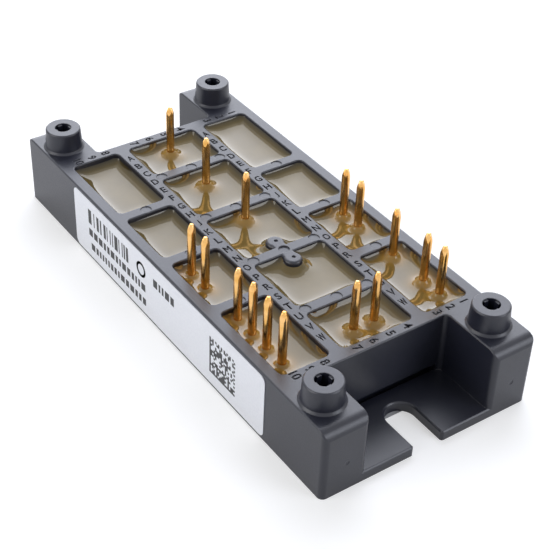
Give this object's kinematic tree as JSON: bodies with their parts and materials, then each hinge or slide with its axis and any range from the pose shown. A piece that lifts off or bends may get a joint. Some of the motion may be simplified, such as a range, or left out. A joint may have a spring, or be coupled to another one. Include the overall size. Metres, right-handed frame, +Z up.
{
  "type": "bridge rectifier module",
  "caption": "Flat three-phase bridge rectifier module: slate-grey ribbed plastic housing potted in beige, gold solder pins, four screw domes and slotted ends.",
  "frame": {"origin": "middle of the underside, on the face that lies on the heat sink", "axes": "+X along the module towards the end with most pins, +Y away from the label, +Z up through the pins"},
  "size_m": [0.093, 0.0405, 0.0215],
  "materials": {
    "housing_plastic": "fine moulded matte, slate grey",
    "copper": "bare rolled copper, satin",
    "alumina": "fired, off-white",
    "silicone_adhesive": "cured bead",
    "silicon": "polished chip with metallised top",
    "thermistor_ceramic": "dark ceramic chip",
    "bond_aluminium": "bright drawn ribbon",
    "solder": "dull tin-grey",
    "silicone_gel": "clear soft gel",
    "potting_epoxy": "glossy cast beige-grey",
    "pin_plating": "bright gold-coloured plating",
    "label_paper": "coated white label with black print"
  },
  "bodies": {
    "root": {"housing": "housing_plastic", "bottom_copper": "copper", "ceramic_substrate": "alumina", "adhesive_ring": "silicone_adhesive", "thermistor": "thermistor_ceramic", "die_solder": "solder", "pin_solder": "solder", "soft_gel": "silicone_gel", "potting_compound": "potting_epoxy", "label": "label_paper", "track_phase_1": "copper", "track_phase_2": "copper", "track_phase_3": "copper", "track_plus": "copper", "track_minus": "copper", "track_emitter_sense": "copper", "track_gate": "copper", "track_brake_output": "copper", "track_brake_minus": "copper", "track_thermistor_1": "copper", "track_thermistor_2": "copper", "rectifier_diode_high_1": "silicon", "rectifier_diode_high_2": "silicon", "rectifier_diode_high_3": "silicon", "rectifier_diode_low_1": "silicon", "rectifier_diode_low_2": "silicon", "rectifier_diode_low_3": "silicon", "freewheel_diode": "silicon", "brake_igbt": "silicon", "bond_ribbons_high_side": "bond_aluminium", "bond_ribbons_low_side": "bond_aluminium", "bond_ribbon_freewheel": "bond_aluminium", "bond_ribbons_emitter": "bond_aluminium", "bond_ribbons_control": "bond_aluminium", "terminal_phase_1": "pin_plating", "terminal_phase_2": "pin_plating", "terminal_phase_3": "pin_plating", "terminal_minus_1": "pin_plating", "terminal_minus_2": "pin_plating", "terminal_emitter_sense": "pin_plating", "terminal_gate": "pin_plating", "terminal_brake_minus_1": "pin_plating", "terminal_brake_minus_2": "pin_plating", "terminal_plus_1": "pin_plating", "terminal_plus_2": "pin_plating", "terminal_plus_3": "pin_plating", "terminal_brake_output_1": "pin_plating", "terminal_brake_output_2": "pin_plating", "terminal_thermistor_1": "pin_plating", "terminal_thermistor_2": "pin_plating"}
  },
  "joints": []
}
